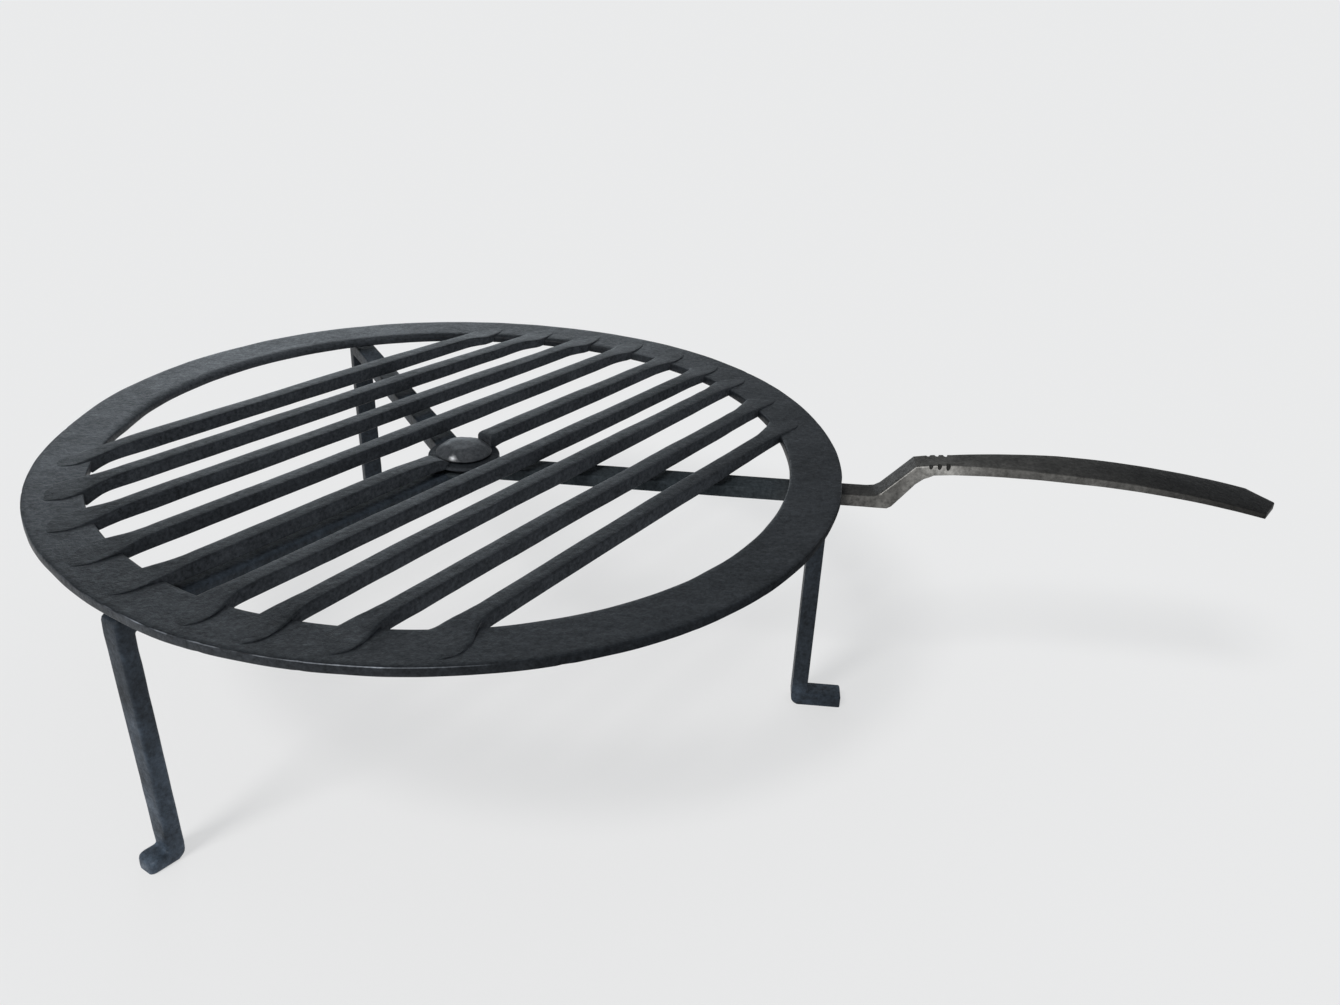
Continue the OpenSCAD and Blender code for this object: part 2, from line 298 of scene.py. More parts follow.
def black_iron(name, deep, pale, bare, rough, shine, shaded=None):
    mat = bpy.data.materials.new(name)
    mat.use_nodes = True
    tree = mat.node_tree
    skin = tree.nodes["Principled BSDF"]
    skin.inputs["Specular IOR Level"].default_value = shine
    place = tree.nodes.new("ShaderNodeTexCoord")
    patches = cloud(tree, place, scale=30, detail=5, roughness=0.6)
    speckle = cloud(tree, place, scale=560, detail=5, roughness=0.75)
    dents = cloud(tree, place, scale=150, detail=4, roughness=0.6)
    grain = sums(tree, "MULTIPLY_ADD", patches, PATCH_SHARE, speckle)
    tone = ranged(tree, grain, DARKEST, PALEST)
    # The bare colour comes in by the mark, which holds wear and, on some pieces, painted light.
    rub_share = ranged(tree, tone, 0, 1, RUB_ON_DARK, RUB_ON_PALE)
    rub = sums(tree, "MULTIPLY", marked(tree, "wear_and_painted_light"), rub_share)
    colour = iron_colour(tree, place, tone, (deep, pale), shaded)
    tree.links.new(blended(tree, rub, colour, bare), skin.inputs["Base Color"])
    dull = ranged(tree, tone, 0, 1, rough + ROUGH_SPREAD, rough - ROUGH_SPREAD)
    dull = sums(tree, "MULTIPLY_ADD", marked(tree, "crust"), CRUST_ROUGHENS, dull)
    tree.links.new(sums(tree, "MULTIPLY_ADD", rub, -RUB_SMOOTHS, dull), skin.inputs["Roughness"])
    low = bumped(tree, dents, BUMP, DENT_DEPTH)
    tree.links.new(bumped(tree, speckle, BUMP, GRAIN_DEPTH, low), skin.inputs["Normal"])
    print("finish", name)
    return mat


# %% Four finishes
# The grid's bare colour is mostly painted light: painted sheen, painted sides, painted highlight.
grid_iron = black_iron(
    "grid_iron", deep=(0.002, 0.003, 0.004), pale=(0.016, 0.019, 0.023),
    bare=(0.29, 0.315, 0.35), rough=0.44, shine=0.15)
leg_iron = black_iron(
    "leg_iron", deep=(0.006, 0.008, 0.010), pale=(0.026, 0.033, 0.042),
    bare=(0.12, 0.16, 0.215), rough=0.50, shine=0.16)
# The handle's bare colour is its rubbed metal, and also the painted highlight on the crank's edge.
handle_iron = black_iron(
    "handle_iron", deep=(0.003, 0.003, 0.003), pale=(0.010, 0.0098, 0.0095),
    bare=(0.45, 0.437, 0.41), rough=0.48, shine=0.045,
    shaded=((0.009, 0.0125, 0.015), (0.030, 0.039, 0.046)))
# The pivot's bare colour is also the colour of the painted highlight on the head's rim.
pivot_iron = black_iron(
    "pivot_iron", deep=(0.018, 0.020, 0.023), pale=(0.060, 0.065, 0.071),
    bare=(0.75, 0.76, 0.78), rough=0.42, shine=0.22)

# %% [markdown]
# ## The ring
# The ring is flat bar bent on edge and welded into a hoop, so its cross-section is the same all the
# way round. A bevelled curve could make it too, but spin keeps the section's wide sides finely
# divided, so the hoop can take hammer marks. The outer edge is pulled in a little here and there,
# where the hammer caught it, and on the far left the top rolls off towards the inner edge. Painted
# light goes by direction: the top gets a painted sheen, most on the left, the outer side is painted
# lighter at the front left, and the upper outer corner has a painted highlight in broken stretches
# at the front. The outer side keeps its crust on the right.

# %% Sizes of the ring
RING_TOP, RING_R, RING_W, RING_T = 115.0, 165.0, 22.0, 4.0
RING_IN, RING_MID_Z = RING_R - RING_W, RING_TOP - RING_T / 2
RING_MID = Vector((-4.4, 0, 0))
# Direction from the middle in degrees, and how far the outline is drawn in there
DRAWN_IN = [
    (-180, 1.5), (-170, 0.7), (-160, 0.1), (-150, 0.1), (-140, 0.8), (-130, 1.2), (-120, 1.2),
    (-110, 0.6), (-90, 0.9), (-70, 0.4), (-50, 0.2), (-30, 0.7), (-20, 0.9), (-8, 0.4), (10, 0.1),
    (40, 0.0), (75, 0.0), (95, 0.4), (120, 0.0), (140, 0.1), (155, 0.5), (170, 0.6), (180, 1.5)]
# Direction in degrees, and how far the top rolls off there over the run at the inner edge
ROLL_OFF = [(-180, 1.0), (-165, 0), (60, 0), (85, 1.0), (110, 1.3), (150, 1.3), (180, 1.0)]
ROLL_RUN = 3.5


def ring_turn(point):
    return math.degrees(math.atan2(point.y, point.x - RING_MID.x))


def ring_reach(point):
    return (Vector((point.x, point.y, 0)) - RING_MID).length


# %% A ring that is not quite flat
LIFT, LIFT_AT, LIFT_SPAN = 1.9, 38, 54


def warp(bm):
    """Lifts the grid by a millimetre or two towards the far right."""
    for v in bm.verts:
        share = clamped(1 - abs(ring_turn(v.co) - LIFT_AT) / LIFT_SPAN)
        v.co.z += LIFT * share * share * (3 - 2 * share) * (ring_reach(v.co) / RING_R) ** 2


# %% Painted light and wear on the ring
# Direction in degrees, and how much painted light the ring's top, its outer side and its upper
# corner get there: a painted sheen, painted light and a painted highlight
TOP_SHEEN = [
    (-180, 0.08), (-150, 0.06), (-120, 0.025), (-90, 0.01), (-60, 0), (40, 0), (60, 0.04), (80, 0),
    (100, 0.015), (130, 0.08), (180, 0.08)]
SIDE_LIGHT = [
    (-180, 0.05), (-140, 0.08), (-120, 0.13), (-105, 0.1), (-90, 0.05), (-75, 0), (150, 0), (180, 0.05)]
CORNER_HIGHLIGHT = [
    (-180, 0.1), (-130, 0.2), (-118, 0.5), (-110, 1), (-85, 0.8), (-72, 0), (150, 0), (180, 0.1)]
# Direction in degrees, and how much crust is left on the outer side there
SIDE_CRUST = [(-180, 0), (-85, 0), (-60, 1), (120, 1), (150, 0), (180, 0)]
RIM_R, STEEP, LEVEL, BRIGHT_SHARE = RING_R - 3, 0.35, 0.96, 0.45


def ring_wear_and_painted_light(point, normal):
    turn, on_rim = ring_turn(point), ring_reach(point) > RIM_R
    # Upper outer corner: a painted highlight in broken stretches
    if on_rim and STEEP < normal.z < LEVEL:
        broken = BRIGHT_SHARE + uneven(point, 21, 0.8) + uneven(point, 4.5, 0.7)
        return straight(CORNER_HIGHLIGHT, turn) * broken
    # Outer side: painted lighter at the front left, where the light falls
    if on_rim and abs(normal.z) < STEEP:
        return straight(SIDE_LIGHT, turn) + uneven(point, 7, 0.03)
    # Top: a painted sheen, strongest on the left, over a faint noise
    return straight(TOP_SHEEN, turn) + uneven(point, 25, 0.03)


def ring_crust(point, normal):
    on_side = ring_reach(point) > RIM_R and normal.z < STEEP
    return straight(SIDE_CRUST, ring_turn(point)) if on_side else 0


# %% An uneven edge
NICK_R, NICK_PITCH, NICK_FROM = RING_R - 1.5, 4.2, 0.42


def work_edges(bm):
    """Draws the outline in, nicks the rim and lets the top roll off at the inner edge."""
    for v in bm.verts:
        out = v.co - RING_MID
        out.z = 0
        turn = ring_turn(v.co)
        pull = flow(DRAWN_IN, turn) + uneven(out, 46, 0.3) + uneven(out, 17, 0.25)
        nick = max(0, uneven(out, NICK_PITCH, 1) - NICK_FROM) if out.length > NICK_R else 0
        if v.co.z > RING_MID_Z:
            inside = clamped(1 - (out.length - RING_IN) / ROLL_RUN)
            v.co.z -= straight(ROLL_OFF, turn) * inside ** 2
        v.co -= out.normalized() * (max(pull, 0) + nick)


# %% Turn the ring
RING_CORNER, RING_CUTS, RING_STEPS = 0.8, 11, 480
MERGE = 0.001


def full_turn(bm, middle, steps):
    """Spins an outline once round an upright axis and closes the seam."""
    bmesh.ops.spin(bm, geom=bm.verts[:] + bm.edges[:], cent=middle, axis=(0, 0, 1), dvec=(0, 0, 0),
                   angle=math.tau, steps=steps, use_merge=True, use_duplicate=False)
    bmesh.ops.remove_doubles(bm, verts=bm.verts, dist=MERGE)
    bmesh.ops.recalc_face_normals(bm, faces=bm.faces)


def forge_ring():
    bm = bmesh.new()
    flat = end_face(bm, RING_W, RING_T, RING_CORNER, RING_CUTS)
    bmesh.ops.delete(bm, geom=[flat], context="FACES_ONLY")
    point = RING_MID + Vector((RING_R - RING_W / 2, 0, RING_MID_Z))
    start = section(point, Vector((0, 1, 0)), Vector((1, 0, 0)), RING_W, RING_T)
    bmesh.ops.transform(bm, matrix=start, verts=bm.verts)
    full_turn(bm, RING_MID, RING_STEPS)
    hammer(bm, depth=0.22, pitch=11, mark=3.1)
    work_edges(bm)
    warp(bm)
    wear(bm, ring_wear_and_painted_light)
    wear(bm, ring_crust, "crust")
    set_piece(bm, "ring_hoop", "grid", ["grid_ring"], grid_iron)


forge_ring()

# %% [markdown]
# ## The bars
# Each bar runs straight across and is spread at both ends into a thin lap, which is welded down on
# the ring. Such an end could be pulled out of a box by hand, but rows of sections are easier to
# change: each section has its own near and far edge and its own height there. The lap's near edge
# stays a clear step, and its far edge sinks into the ring, as if the hammer had always come from
# that side. Webs fill in beside a bar just before the ring, and the back ends come down more
# gently. The underside stops in the ring, so from below the ring runs on unbroken.

# %% Sizes of the bars
BAR_W, BAR_TOP, BAR_LOW, LAP_ROOT = 7.4, 117.0, 111.1, RING_TOP - 0.9
BAR_T = BAR_TOP - BAR_LOW
BAR_PLACES = [99.5, 76.5, 52.0, 26.5, 0.0, -24.5, -45.5, -71.0, -94.5]
MIDDLE = 4
# Largest reach of each lap to the near and the far side of its bar, at the bar's front end
FRONT_NEAR = [3.2, 4.0, 2.7, 4.2, 2.4, 8.2, 6.8, 7.0, 9.9]
FRONT_FAR = [5.0, 5.5, 6.1, 5.7, 5.6, 3.0, 2.0, 2.5, 2.5]
BACK_NEAR, BACK_FAR = 5.3, 5.5
# How far each bar's front end is bowed to the near side
FRONT_BOW = [0.0, 0.0, 0.0, 0.0, 0.0, 1.0, 3.0, 1.5, 1.5]
# Webs on the near and the far side of each bar, just before the ring
FRONT_NEAR_WEB = [0.6, 0.6, 1.0, 0.8, 0.5, 0.0, 0.0, 0.0, 0.0]
FRONT_FAR_WEB = [1.0, 4.0, 4.0, 4.4, 3.8, 3.6, 4.2, 4.2, 4.2]
BACK_NEAR_WEB = [2.2, 2.2, 2.2, 1.6, 1.0, 0.5, 0.0, 0.0, 0.0]
BACK_FAR_WEB = [0.0, 0.0, 0.0, 0.0, 0.0, 0.0, 0.3, 0.4, 0.4]
NEAR_SWELL = [(-18, 0), (-10, 0), (-5, 0.45), (-1, 1), (4, 0.6), (9, 0), (18, 0)]
FAR_SWELL = [(-18, 0), (-14, 0.05), (-8, 0.35), (-3, 0.8), (1, 1), (18, 1)]

# %% Edges and heights of a lap
# A lap begins this far before the ring's inner edge and ends as far past it
LAP_RUN, LAP_STEP = 18, 1.5
LAP_MARKS = [-LAP_RUN + LAP_STEP * i for i in range(25)]
# Run past the ring's inner edge, reach for a plain lap, share of the lap's own spread
NEAR_EDGE = [
    (-18, 3.7, 0), (-11, 3.8, 0), (-6, 3.95, 0.1), (-2, 3.7, 0.45), (2, 3.7, 0.8), (6.5, 3.7, 1),
    (10.5, 3.4, 1), (13.5, 2.1, 1), (16, 0.7, 1), (18, -1.3, 1)]
FAR_EDGE = [
    (-18, 3.7, 0), (-11, 3.8, 0), (-6, 4.0, 0.3), (-2, 4.0, 0.7), (2, 4.3, 1), (6.5, 5.6, 1),
    (10.5, 6.2, 1), (13.5, 5.8, 1), (16, 4.6, 1), (18, 2.6, 1)]
# Run past the ring's inner edge, and height above the ring at the near and the far edge
FRONT_NEAR_TOP = [
    (-18, 2.0), (-12, 1.9), (-6, 1.5), (-1, 0.95), (4, 0.58), (9, 0.36), (13, 0.18), (16, -0.02),
    (18, -0.2)]
FRONT_FAR_TOP = [
    (-18, 2.0), (-12, 1.7), (-6, 0.95), (-2, 0.35), (2, 0.0), (6, -0.14), (12, -0.22), (18, -0.35)]
BACK_NEAR_TOP = [
    (-18, 1.2), (-12, 1.05), (-6, 0.85), (-1, 0.62), (4, 0.42), (9, 0.26), (13, 0.12), (16, -0.05),
    (18, -0.2)]
BACK_FAR_TOP = [
    (-18, 1.2), (-12, 1.0), (-6, 0.65), (-2, 0.3), (2, 0.02), (6, -0.12), (12, -0.2), (18, -0.35)]


def spread(row, most):
    return [(run, plain + share * (most - BAR_W / 2)) for run, plain, share in row]


# %% The line of a bar
BarLine = namedtuple("BarLine", "along across middle inner skew")
BAR_TURN, FAN = 57.5, 0.5


def bar_line(k):
    """Directions of a bar, middle and half length of its run in the ring, and the edge's skew there."""
    turn = math.radians(BAR_TURN + FAN * (k - MIDDLE))
    along = Vector((math.cos(turn), math.sin(turn), 0))
    across = Vector((-along.y, along.x, 0))
    off = BAR_PLACES[k] - RING_MID.dot(across)
    inner = math.sqrt(RING_IN ** 2 - off ** 2)
    return BarLine(along, across, RING_MID.dot(along), inner, off / inner)


def bow(k, share):
    """How far a bar lies to the near side, at a share of the way to the ring (front is negative)."""
    return FRONT_BOW[k] * clamped(-share) ** 2


def lay_section(line, run, near, far, near_top, far_top, low):
    """Section with a tilted top, from its near and far edge and its height at each."""
    top = (near_top + far_top) / 2
    wide = line.across * max(far - near, 0.8) + UP * (far_top - near_top)
    made = Matrix((wide, UP * (top - low), line.along)).transposed().to_4x4()
    made.translation = line.along * run + line.across * (near + far) / 2 + UP * (top + low) / 2
    return made


# %% Sections of a spread end
# How far the full depth runs on under a lap, and how much further where the ring's edge is skew
COVER, COVER_SKEW = 1.5, 5.5


def bar_end(k, side):
    """Sections of one spread end, from the straight bar to the tip of its lap."""
    line, front = bar_line(k), side < 0
    near_row = spread(NEAR_EDGE, FRONT_NEAR[k] if front else BACK_NEAR)
    far_row = spread(FAR_EDGE, FRONT_FAR[k] if front else BACK_FAR)
    near_web = (FRONT_NEAR_WEB if front else BACK_NEAR_WEB)[k]
    far_web = (FRONT_FAR_WEB if front else BACK_FAR_WEB)[k]
    near_top = FRONT_NEAR_TOP if front else BACK_NEAR_TOP
    far_top = FRONT_FAR_TOP if front else BACK_FAR_TOP
    cover = COVER + COVER_SKEW * abs(line.skew)
    made = []
    for run in LAP_MARKS:
        centre = BAR_PLACES[k] - bow(k, side * (line.inner + run) / line.inner)
        near = centre - flow(near_row, run) - near_web * flow(NEAR_SWELL, run)
        far = centre + flow(far_row, run) + far_web * flow(FAR_SWELL, run)
        made.append(lay_section(line, line.middle + side * (line.inner + run), near, far,
                                RING_TOP + flow(near_top, run), RING_TOP + flow(far_top, run),
                                BAR_LOW if run < cover else LAP_ROOT))
    return made


# %% Sections of a straight run
RUN_STEP, STRAIGHT_GAP = 6, LAP_RUN + 6
BACK_FALL, BACK_FALL_RUN = 0.8, 60


def along_bar(run, place, pitch, height, mark):
    """Smooth noise along a bar, different for each place and each mark."""
    return height * noise.noise(Vector((run / pitch, place, mark)))


def straight_run(k, start, stop):
    line, place = bar_line(k), BAR_PLACES[k]
    count = max(2, int(abs(stop - start) / RUN_STEP))
    made = []
    for i in range(count + 1):
        run = start + (stop - start) * i / count
        sway = along_bar(run, place, 37, 0.25, 1.7) - bow(k, run / line.inner)
        half = BAR_W / 2 + along_bar(run, place, 19, 0.16, 8.3)
        fall = BACK_FALL * clamped(1 - (line.inner - LAP_RUN - run) / BACK_FALL_RUN)
        top = BAR_TOP - fall + along_bar(run, place, 31, 0.12, 5.9)
        tilt = along_bar(run, place, 27, 0.16, 3.3)
        made.append(lay_section(line, line.middle + run, place + sway - half, place + sway + half,
                                top + tilt, top - tilt, BAR_LOW))
    return made


# %% [markdown]
# ## A foot in the corner
# On the first bars, the hammer also spread the foot of the near side where it meets the ring, so
# the gap there has a soft corner. A separate wedge would show a seam, so the bar's own points are
# moved: the lower they lie, the further, by a row along the bar.

# %% Spread the foot
CORNER_FOOT = [7.0, 7.0, 2.5, 0.0, 0.0, 0.0, 0.0, 0.0, 0.0]
FOOT_SWELL = [
    (-24, 0), (-12, 0), (-8, 0.1), (-5, 0.28), (-2, 0.52), (1, 0.8), (4, 1), (8, 0.9), (13, 0), (18, 0)]
FOOT_SLANT, FOOT_TOP = 5, BAR_TOP - 1


def spread_foot(bm, k):
    """Spreads the foot of a bar's near side in the corner before the ring, at the bar's front end."""
    line = bar_line(k)
    for v in bm.verts:
        run = line.middle - line.inner - v.co.dot(line.along)
        if v.co.dot(line.across) < BAR_PLACES[k] and abs(run) < LAP_RUN:
            share = clamped((FOOT_TOP - v.co.z) / (FOOT_TOP - BAR_LOW))
            swell = flow(FOOT_SWELL, run - FOOT_SLANT * line.skew)
            v.co -= line.across * CORNER_FOOT[k] * swell * share


# %% Draw the bars
BAR_CORNER, BAR_DENT, BAR_DENT_PITCH, BAR_SIDE_LIGHT = 0.75, 0.12, 6, 0.11


# Upright sides are painted lighter than the tops as painted light, over a faint noise of wear.
def bar_wear_and_side_light(point, normal):
    return BAR_SIDE_LIGHT * (1 - abs(normal.z)) + uneven(point, 9, 0.03)


def bar_crust(point, normal):
    return 1 if abs(normal.z) < STEEP else 0


def set_bar(bm, number):
    warp(bm)
    wear(bm, bar_wear_and_side_light)
    wear(bm, bar_crust, "crust")
    set_piece(bm, f"grid_bar_{number}_forged", "grid", [f"grid_bar_{number}"], grid_iron)


def forge_bar(k):
    number, stop = k + 1, bar_line(k).inner - STRAIGHT_GAP
    made = bar_end(k, -1)[::-1] + straight_run(k, -stop, stop) + bar_end(k, 1)
    bm = draw_out(made, BAR_W, BAR_T, BAR_CORNER)
    spread_foot(bm, k)
    hammer(bm, BAR_DENT, BAR_DENT_PITCH, mark=number * 2.3)
    set_bar(bm, number)


for k in range(len(BAR_PLACES)):
    if k != MIDDLE:
        forge_bar(k)

# %% [markdown]
# ## The middle bar and its eye
# The middle bar is swelled into a flat eye that turns on the rivet. One bar cannot be drawn through
# its own eye, so it is two drawn halves and a turned eye, and a Boolean union makes them one closed
# mesh, as the forge would.

# %% Join and cut helpers
def loose(bm, name):
    mesh = bpy.data.meshes.new(name)
    bm.to_mesh(mesh)
    bm.free()
    made = bpy.data.objects.new(name, mesh)
    bpy.context.collection.objects.link(made)
    return made


def join_cut(base, others, how):
    """Returns a bmesh of base joined with, or cut by, the other meshes."""
    first = loose(base, "work")
    extra = [loose(o, "tool") for o in others]
    for o in extra:
        step = first.modifiers.new("step", "BOOLEAN")
        step.operation = how
        step.solver = "EXACT"
        step.object = o
    bpy.context.view_layer.update()
    made = bmesh.new()
    made.from_object(first, bpy.context.evaluated_depsgraph_get())
    for o in [first] + extra:
        mesh = o.data
        bpy.data.objects.remove(o)
        bpy.data.meshes.remove(mesh)
    return made


def turned(profile, steps=72):
    """A round piece turned from (radius, height) points about the pivot axis."""
    bm = bmesh.new()
    verts = [bm.verts.new((r, 0, z)) for r, z in profile]
    for a, b in zip(verts, verts[1:]):
        bm.edges.new((a, b))
    if profile[0][0] > 0:
        bm.edges.new((verts[-1], verts[0]))
    full_turn(bm, (0, 0, 0), steps)
    return bm


# %% Forge the eye bar
EYE_R, EYE_TOP, EYE_LOW, BORE_R = 15.0, 112.2, 110.0, 5.05
EYE_PROFILE = [
    (BORE_R, EYE_LOW + 0.3), (BORE_R, EYE_TOP - 0.3), (5.4, EYE_TOP), (14.2, EYE_TOP),
    (14.8, EYE_TOP - 0.3), (EYE_R, EYE_TOP - 0.8), (EYE_R, EYE_LOW + 0.6), (14.7, EYE_LOW + 0.2),
    (14.2, EYE_LOW), (5.4, EYE_LOW)]
# Distance from the rivet, half width, top and underside of the bar where it rises out of the eye
FRONT_RISE = [
    (12.4, 4.2, 113.2, 110.2), (14, 4.3, 114.4, 110.2), (16, 4.2, 115.3, 110.4),
    (18, 4.0, 115.8, 110.7), (24, 3.8, 116.1, 111.0), (30, 3.7, 116.6, 111.1), (35, 3.7, 116.9, 111.1)]
BACK_RISE = [
    (12.4, 3.9, 116.0, 110.2), (13.0, 3.9, 116.7, 110.2), (14.5, 3.8, 117.0, 110.4),
    (17, 3.7, 117.0, 110.8), (20, 3.7, 117.0, 111.1)]
RISE_GAP = 4


def forge_eye_bar():
    line = bar_line(MIDDLE)
    halves = []
    for side, row in ((-1, FRONT_RISE), (1, BACK_RISE)):
        rise = [lay_section(line, side * run, -half, half, top, top, low)
                for run, half, top, low in row]
        start = side * (row[-1][0] + RISE_GAP) - line.middle
        plain = straight_run(MIDDLE, start, side * (line.inner - STRAIGHT_GAP))
        bm = draw_out(rise + plain + bar_end(MIDDLE, side), BAR_W, BAR_T, BAR_CORNER)
        hammer(bm, BAR_DENT, BAR_DENT_PITCH, mark=11.5 + side)
        halves.append(bm)
    set_bar(join_cut(turned(EYE_PROFILE), halves, "UNION"), MIDDLE + 1)


forge_eye_bar()

# %% [markdown]
# ## The pivot
# A rivet with a low domed head holds the grid, over a washer. Both are round, so each is a profile
# of a few points spun about the axis, where a scaled sphere would give the wrong rim. The head was
# set with a hammer, which left soft flats: each is a plane, and points that stand out of it are
# pressed back onto it. One painted highlight is left on the front of the rim.

# %% Profiles of the rivet and the washer
HEAD_LOW, ARM_TOP, ARM_LOW, RIVET_R = 112.5, 108.7, 103.3, 5.0
HEAD_PROFILE = [
    (0, 117.6), (1.5, 117.58), (3, 117.5), (4.5, 117.3), (6, 117.0), (7.2, 116.65), (8.4, 116.2),
    (9.4, 115.7), (10.3, 115.1), (11.0, 114.45), (11.5, 113.8), (11.8, 113.2), (11.7, 112.8),
    (11.3, HEAD_LOW)]
TAIL_PROFILE = [
    (RIVET_R, HEAD_LOW), (RIVET_R, ARM_LOW), (8.2, ARM_LOW), (8.5, ARM_LOW - 0.5), (8.2, ARM_LOW - 1.3),
    (6.5, ARM_LOW - 1.9), (0, ARM_LOW - 2)]
WASHER_TOP, WASHER_R, WASHER_BORE_R = 109.7, 12.5, 5.1
WASHER_PROFILE = [
    (WASHER_BORE_R, ARM_TOP), (WASHER_BORE_R, WASHER_TOP), (12.1, WASHER_TOP),
    (12.4, WASHER_TOP - 0.15), (WASHER_R, WASHER_TOP - 0.4), (WASHER_R, ARM_TOP + 0.3), (12.3, ARM_TOP)]

# %% Flats and painted highlight on the head
# Direction round the axis, tilt from upright, and distance from the head's middle of each flat
HEAD_FLATS = [
    (35, 34, 7.45), (95, 38, 7.55), (165, 33, 7.4), (225, 36, 7.6), (285, 37, 7.6), (335, 33, 7.45),
    (250, 6, 4.95)]
HEAD_MIDDLE, FLATS_FROM = Vector((0, 0, HEAD_LOW)), HEAD_LOW + 0.5
# Middle, size and strength of the painted highlight on the front of the head's rim
HIGHLIGHT_SPOT, HIGHLIGHT_SIZE, HIGHLIGHT_MOST = Vector((-2.4, -10.8, 114.3)), Vector((1.5, 1.5, 0.75)), 1.3


def flatten_head(bm):
    """Presses every point that stands out of a flat back onto it."""
    for turn, tilt, reach in HEAD_FLATS:
        a, b = math.radians(turn), math.radians(tilt)
        way = Vector((math.cos(a) * math.sin(b), math.sin(a) * math.sin(b), math.cos(b)))
        for v in bm.verts:
            proud = (v.co - HEAD_MIDDLE).dot(way) - reach
            if proud > 0 and v.co.z > FLATS_FROM:
                v.co -= way * proud


# A painted highlight: fully bare at the spot, fading out over its size
def dome_highlight(point, normal):
    away = point - HIGHLIGHT_SPOT
    return HIGHLIGHT_MOST - Vector([a / size for a, size in zip(away, HIGHLIGHT_SIZE)]).length


# %% Turn the rivet and the washer
def forge_rivet():
    bm = turned(HEAD_PROFILE + TAIL_PROFILE, steps=96)
    flatten_head(bm)
    hammer(bm, depth=0.25, pitch=4, mark=4.4)
    wear(bm, dome_highlight)
    set_piece(bm, "pivot_dome", "frame", ["pivot_rivet"], pivot_iron)


def forge_washer():
    bm = turned(WASHER_PROFILE)
    # The washer's sides get the same painted light as the bars' sides.
    wear(bm, bar_wear_and_side_light)
    set_piece(bm, "pivot_spacer", "frame", ["pivot_washer"], pivot_iron)


forge_rivet()
forge_washer()

# %% [markdown]
# ## The handle
# One bar makes the hub, the arm, the crank and the grip. Its side view and its plan are simple rows
# of points, so a section is taken every few millimetres and the bar is drawn through them. The
# grip's top is crowned by half a millimetre, which gives the soft change of shade across it. The
# hub is turned and joined on, and three notches on each edge are cut with a thin round file. The
# crank and the neck are worn grey, and under the grid the bar stays dark.
# The near upper edge of the crank also has a painted highlight on its rubbed grey.

# %% Side view and plan of the handle
ARM_W, ARM_T, GRIP_X, GRIP_END, GRIP_TIP = 11.5, 5.4, 197.0, 331.5, 340.5
ARM_HALF = ARM_W / 2
ARCH_X, ARCH_Z, ARCH_R, LOW_X, LOW_R = 237.0, -313.48, 440.0, 243.0, 435.9
SIDE_TOP = [
    (0, ARM_TOP), (171.5, ARM_TOP), (174.5, 109.1), (176.8, 110.5), (189.3, 123.4), (GRIP_X, 124.7)]
SIDE_LOW = [
    (0, ARM_LOW), (179.6, ARM_LOW), (181.4, 104.4), (190.2, 115.5), (193.2, 118.1), (GRIP_X, 119.7)]
PLAN_NEAR = [(0, -ARM_HALF), (205, -ARM_HALF), (249, -8.93), (GRIP_END, -10), (GRIP_TIP, 4.7)]
PLAN_FAR = [(0, ARM_HALF), (205, ARM_HALF), (249, 10.87), (GRIP_END, 15), (GRIP_TIP, 6.3)]
CROWN = [
    (0, 0.12), (170, 0.12), (190, 0.1), (205, 0.12), (249, 0.38), (GRIP_END, 0.5), (GRIP_TIP, 0.1)]


def handle_span(x):
    """Near edge, far edge, top and underside of the handle at x."""
    if x < GRIP_X:
        top, low = straight(SIDE_TOP, x), straight(SIDE_LOW, x)
    else:
        top = ARCH_Z + math.sqrt(ARCH_R ** 2 - (x - ARCH_X) ** 2)
        low = ARCH_Z + math.sqrt(LOW_R ** 2 - (x - LOW_X) ** 2)
    return straight(PLAN_NEAR, x), straight(PLAN_FAR, x), top, low


# %% Sections of the handle
ARM_MARKS = [8 * i for i in range(22)]
CRANK_MARKS = [171.5, 173, 174.5, 175.7, 176.8, 178.2, 179.6, 181.4, 183.5, 185.5, 187.5, 189.3, 190.2,
               191.7, 193.2, 195]
GRIP_MARKS = [197, 199, 201, 203, 205, 208, 211, 215] + [220 + 5 * i for i in range(22)]
TIP_MARKS = [328, 330, GRIP_END, 333, 335, 337, 339, GRIP_TIP]


def handle_section(x):
    near, far, top, low = handle_span(x)
    point = Vector((x, (near + far) / 2, (top + low) / 2))
    return section(point, Vector((1, 0, 0)), Vector((0, 1, 0)), far - near, top - low)


def crown_top(bm):
    """Lets the top fall away a little towards both edges."""
    for v in bm.verts:
        near, far, top, low = handle_span(min(max(v.co.x, 0), GRIP_TIP))
        share = (v.co.y - (near + far) / 2) / ((far - near) / 2)
        if v.co.z > (top + low) / 2:
            v.co.z -= flow(CROWN, v.co.x) * share * share


# %% A round file
NOTCHES, NOTCH_Z, NOTCH_WIDE, NOTCH_DEEP = (195.3, 198.8, 202.3), 124.7, 0.9, 1.4
FILE_LENGTH, FILE_TILT = 12, 45


def file_cutter(x, side):
    bm = bmesh.new()
    bmesh.ops.create_cone(bm, cap_ends=True, segments=20, radius1=1, radius2=1, depth=FILE_LENGTH)
    bmesh.ops.scale(bm, vec=(NOTCH_WIDE, NOTCH_DEEP, 1), verts=bm.verts)
    tilted = Matrix.Rotation(math.radians(FILE_TILT * side), 3, "X")
    bmesh.ops.rotate(bm, verts=bm.verts, cent=(0, 0, 0), matrix=tilted)
    bmesh.ops.translate(bm, verts=bm.verts, vec=(x, side * ARM_HALF, NOTCH_Z))
    return bm


